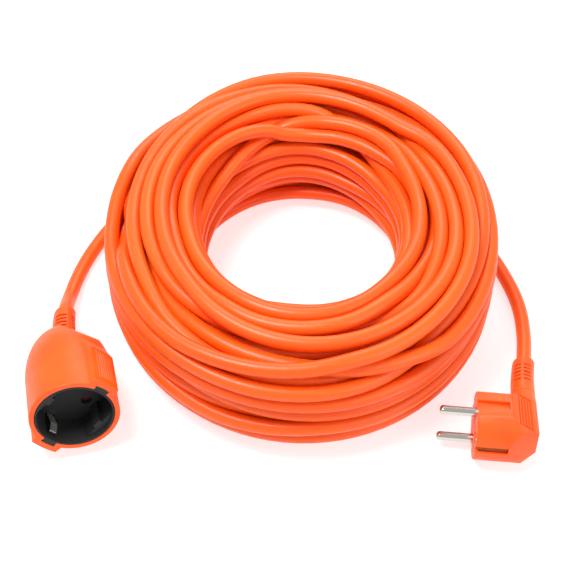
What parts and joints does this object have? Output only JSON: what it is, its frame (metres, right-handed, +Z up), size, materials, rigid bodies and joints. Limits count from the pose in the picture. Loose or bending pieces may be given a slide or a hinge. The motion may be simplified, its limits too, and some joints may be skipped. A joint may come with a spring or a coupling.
{
  "type": "extension cord",
  "caption": "Coiled orange extension cord with a round earthed socket coupler on one end and an angled earthed plug with round pins on the other.",
  "frame": {"origin": "middle of the footprint's bounding box, on the surface that the coiled cord lies on", "axes": "+Z up out of the coil, +X from the socket's side towards the plug's side, -Y towards the ends that carry the socket and the plug"},
  "size_m": [0.2783, 0.2499, 0.075],
  "materials": {
    "moulded_orange": "fine matte moulded PVC",
    "cord_jacket": "smooth extruded PVC with a soft sheen",
    "black_plastic": "satin moulded plastic",
    "grey_plastic": "satin moulded plastic",
    "red_plastic": "satin moulded plastic",
    "nickel": "polished nickel plate on brass",
    "brass": "stamped, unpolished",
    "spring_steel": "drawn wire",
    "brown_core": "extruded PVC core insulation",
    "blue_core": "extruded PVC core insulation",
    "green_core": "extruded PVC core insulation, green with a yellow stripe"
  },
  "bodies": {
    "cord_set": {"cord_coil": "cord_jacket", "socket_lead": "cord_jacket", "plug_lead": "cord_jacket", "socket_shell": "moulded_orange", "socket_strain_relief": "moulded_orange", "socket_insert": "black_plastic", "shutter_spring": "spring_steel", "socket_contact_carrier": "grey_plastic", "socket_live_contact": "brass", "socket_neutral_contact": "brass", "socket_earth_bridge": "brass", "socket_live_core": "brown_core", "socket_neutral_core": "blue_core", "socket_earth_core": "green_core", "socket_live_crimp": "brass", "socket_neutral_crimp": "brass", "socket_earth_crimp": "brass", "plug_body": "moulded_orange", "plug_strain_relief": "moulded_orange", "plug_live_pin": "nickel", "plug_neutral_pin": "nickel", "plug_pin_bridge": "grey_plastic", "plug_earth_strip_back": "nickel", "plug_earth_strip_front": "nickel", "plug_earth_sleeve": "nickel", "plug_live_core": "brown_core", "plug_neutral_core": "blue_core", "plug_earth_core": "green_core", "plug_live_crimp": "brass", "plug_neutral_crimp": "brass", "plug_earth_crimp": "brass"},
    "shutter": {"socket_shutter": "red_plastic"},
    "clip_right": {"earth_clip_right": "nickel"},
    "clip_left": {"earth_clip_left": "nickel"}
  },
  "joints": [
    {"name": "shutter_turn", "type": "hinge", "parent": "cord_set", "child": "shutter", "pos_m": [-0.11355, -0.08829, 0.02688], "axis": [0.2266, -0.9584, 0.1736], "range_deg": [0, 38], "stiffness_Nm_per_rad": 0.002, "springref_deg": -5.73},
    {"name": "clip_right_bend", "type": "hinge", "parent": "cord_set", "child": "clip_right", "pos_m": [-0.10317, -0.07179, 0.03763], "axis": [-0.6929, -0.0333, 0.7202], "range_deg": [0, 2], "stiffness_Nm_per_rad": 0.5, "springref_deg": -1.15},
    {"name": "clip_left_bend", "type": "hinge", "parent": "cord_set", "child": "clip_left", "pos_m": [-0.12918, -0.08256, 0.01211], "axis": [0.6929, 0.0333, -0.7202], "range_deg": [0, 2], "stiffness_Nm_per_rad": 0.5, "springref_deg": -1.15}
  ]
}
